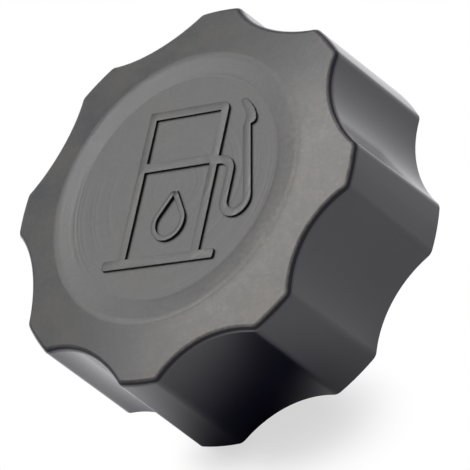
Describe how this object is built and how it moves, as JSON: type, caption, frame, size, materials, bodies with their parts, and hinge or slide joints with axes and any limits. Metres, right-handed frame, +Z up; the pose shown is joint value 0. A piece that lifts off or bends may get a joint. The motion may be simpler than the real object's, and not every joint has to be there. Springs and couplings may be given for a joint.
{
  "type": "fuel filler cap",
  "caption": "Lobed plastic screw cap for a fuel filler neck, with a ratchet grip cover, rubber neck gasket and sprung pressure and vacuum vent valves.",
  "frame": {"origin": "centre of the circle that the cover's rim stands on, in the rim's plane", "axes": "+Z up along the screw axis through the crown; +Y towards the top of the raised pump sign; lobes lie on the X and Y axes"},
  "size_m": [0.08, 0.08, 0.0284],
  "materials": {
    "cover_plastic": "satin black polypropylene with a fine spark-eroded grain",
    "plug_plastic": "semi-matt black polyamide",
    "acetal": "natural white acetal",
    "fuel_rubber": "matt black nitrile rubber",
    "baffle_plastic": "semi-matt black polyamide",
    "valve_plastic": "grey acetal",
    "filter_foam": "open-cell foam",
    "spring_steel": "bright drawn spring wire"
  },
  "bodies": {
    "cover": {"grip_cover": "cover_plastic"},
    "plug": {"closure_plug": "plug_plastic", "ratchet_ring": "acetal", "thrust_washer": "acetal", "neck_gasket": "fuel_rubber", "splash_baffle": "baffle_plastic", "valve_housing": "valve_plastic", "housing_gasket": "fuel_rubber", "spring_retainer": "valve_plastic", "vent_filter": "filter_foam", "pressure_spring": "spring_steel"},
    "pressure_valve": {"pressure_valve": "valve_plastic", "pressure_valve_seal": "fuel_rubber", "vacuum_spring": "spring_steel"},
    "vacuum_valve": {"vacuum_valve": "valve_plastic", "vacuum_valve_seal": "fuel_rubber", "vacuum_spring_cap": "spring_steel"}
  },
  "joints": [
    {"name": "ratchet_turn", "type": "hinge", "parent": "cover", "child": "plug", "pos_m": [0, 0, 0], "axis": [0, 0, 1], "continuous": true},
    {"name": "pressure_lift", "type": "slide", "parent": "plug", "child": "pressure_valve", "axis": [0, 0, 1], "range_m": [0, 0.0016], "stiffness_N_per_m": 500, "springref_m": -0.0028, "deforming": ["pressure_spring"]},
    {"name": "vacuum_drop", "type": "slide", "parent": "pressure_valve", "child": "vacuum_valve", "axis": [0, 0, -1], "range_m": [0, 0.0012], "stiffness_N_per_m": 100, "springref_m": -0.0015, "deforming": ["vacuum_spring"]}
  ]
}
